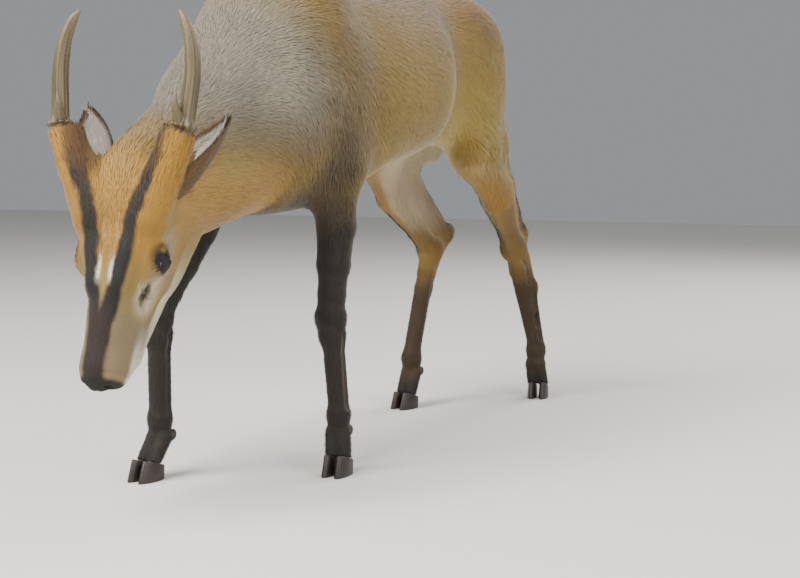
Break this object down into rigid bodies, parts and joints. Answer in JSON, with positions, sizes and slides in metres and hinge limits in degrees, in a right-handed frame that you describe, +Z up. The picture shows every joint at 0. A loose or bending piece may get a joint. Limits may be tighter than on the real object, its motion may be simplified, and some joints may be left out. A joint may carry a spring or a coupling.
{
  "type": "muntjac stag model",
  "caption": "Life-size still model of a red muntjac stag standing with its head lowered, with spiked antlers on long hairy pedicles, cupped ears and cloven hooves",
  "frame": {"origin": "on the floor under the middle of the outline", "axes": "+Z up, the animal's left side towards +X, head towards -Y and tail towards +Y"},
  "size_m": [0.2128, 0.9138, 0.5639],
  "materials": {
    "coat_body": "short olive-brown to ochre hair with paler belly and white inner thighs",
    "coat_neck": "grey-lilac to olive hair, pale inside the ears",
    "coat_head": "orange-brown forehead, black stripes, white lips and chin",
    "coat_leg": "blackish brown short hair",
    "antler": "ridged antler, stands in for bone",
    "eye": "dark wet eye",
    "hoof": "dark horn"
  },
  "bodies": {
    "root": {"chest": "coat_body", "hindquarters": "coat_body", "neck": "coat_neck", "head": "coat_head", "tail": "coat_body", "pedicle_left": "coat_head", "antler_left": "antler", "tine_left": "antler", "ear_left": "coat_neck", "eye_left": "eye", "pedicle_right": "coat_head", "antler_right": "antler", "tine_right": "antler", "ear_right": "coat_neck", "eye_right": "eye", "foreleg_left_upper": "coat_leg", "foreleg_left_lower": "coat_leg", "hoof_foreleg_left_outer": "hoof", "dewclaw_foreleg_left_outer": "hoof", "hoof_foreleg_left_inner": "hoof", "dewclaw_foreleg_left_inner": "hoof", "foreleg_right_upper": "coat_leg", "foreleg_right_lower": "coat_leg", "hoof_foreleg_right_outer": "hoof", "dewclaw_foreleg_right_outer": "hoof", "hoof_foreleg_right_inner": "hoof", "dewclaw_foreleg_right_inner": "hoof", "hindleg_left_upper": "coat_leg", "hindleg_left_lower": "coat_leg", "hoof_hindleg_left_outer": "hoof", "dewclaw_hindleg_left_outer": "hoof", "hoof_hindleg_left_inner": "hoof", "dewclaw_hindleg_left_inner": "hoof", "hindleg_right_upper": "coat_leg", "hindleg_right_lower": "coat_leg", "hoof_hindleg_right_outer": "hoof", "dewclaw_hindleg_right_outer": "hoof", "hoof_hindleg_right_inner": "hoof", "dewclaw_hindleg_right_inner": "hoof"}
  },
  "joints": []
}
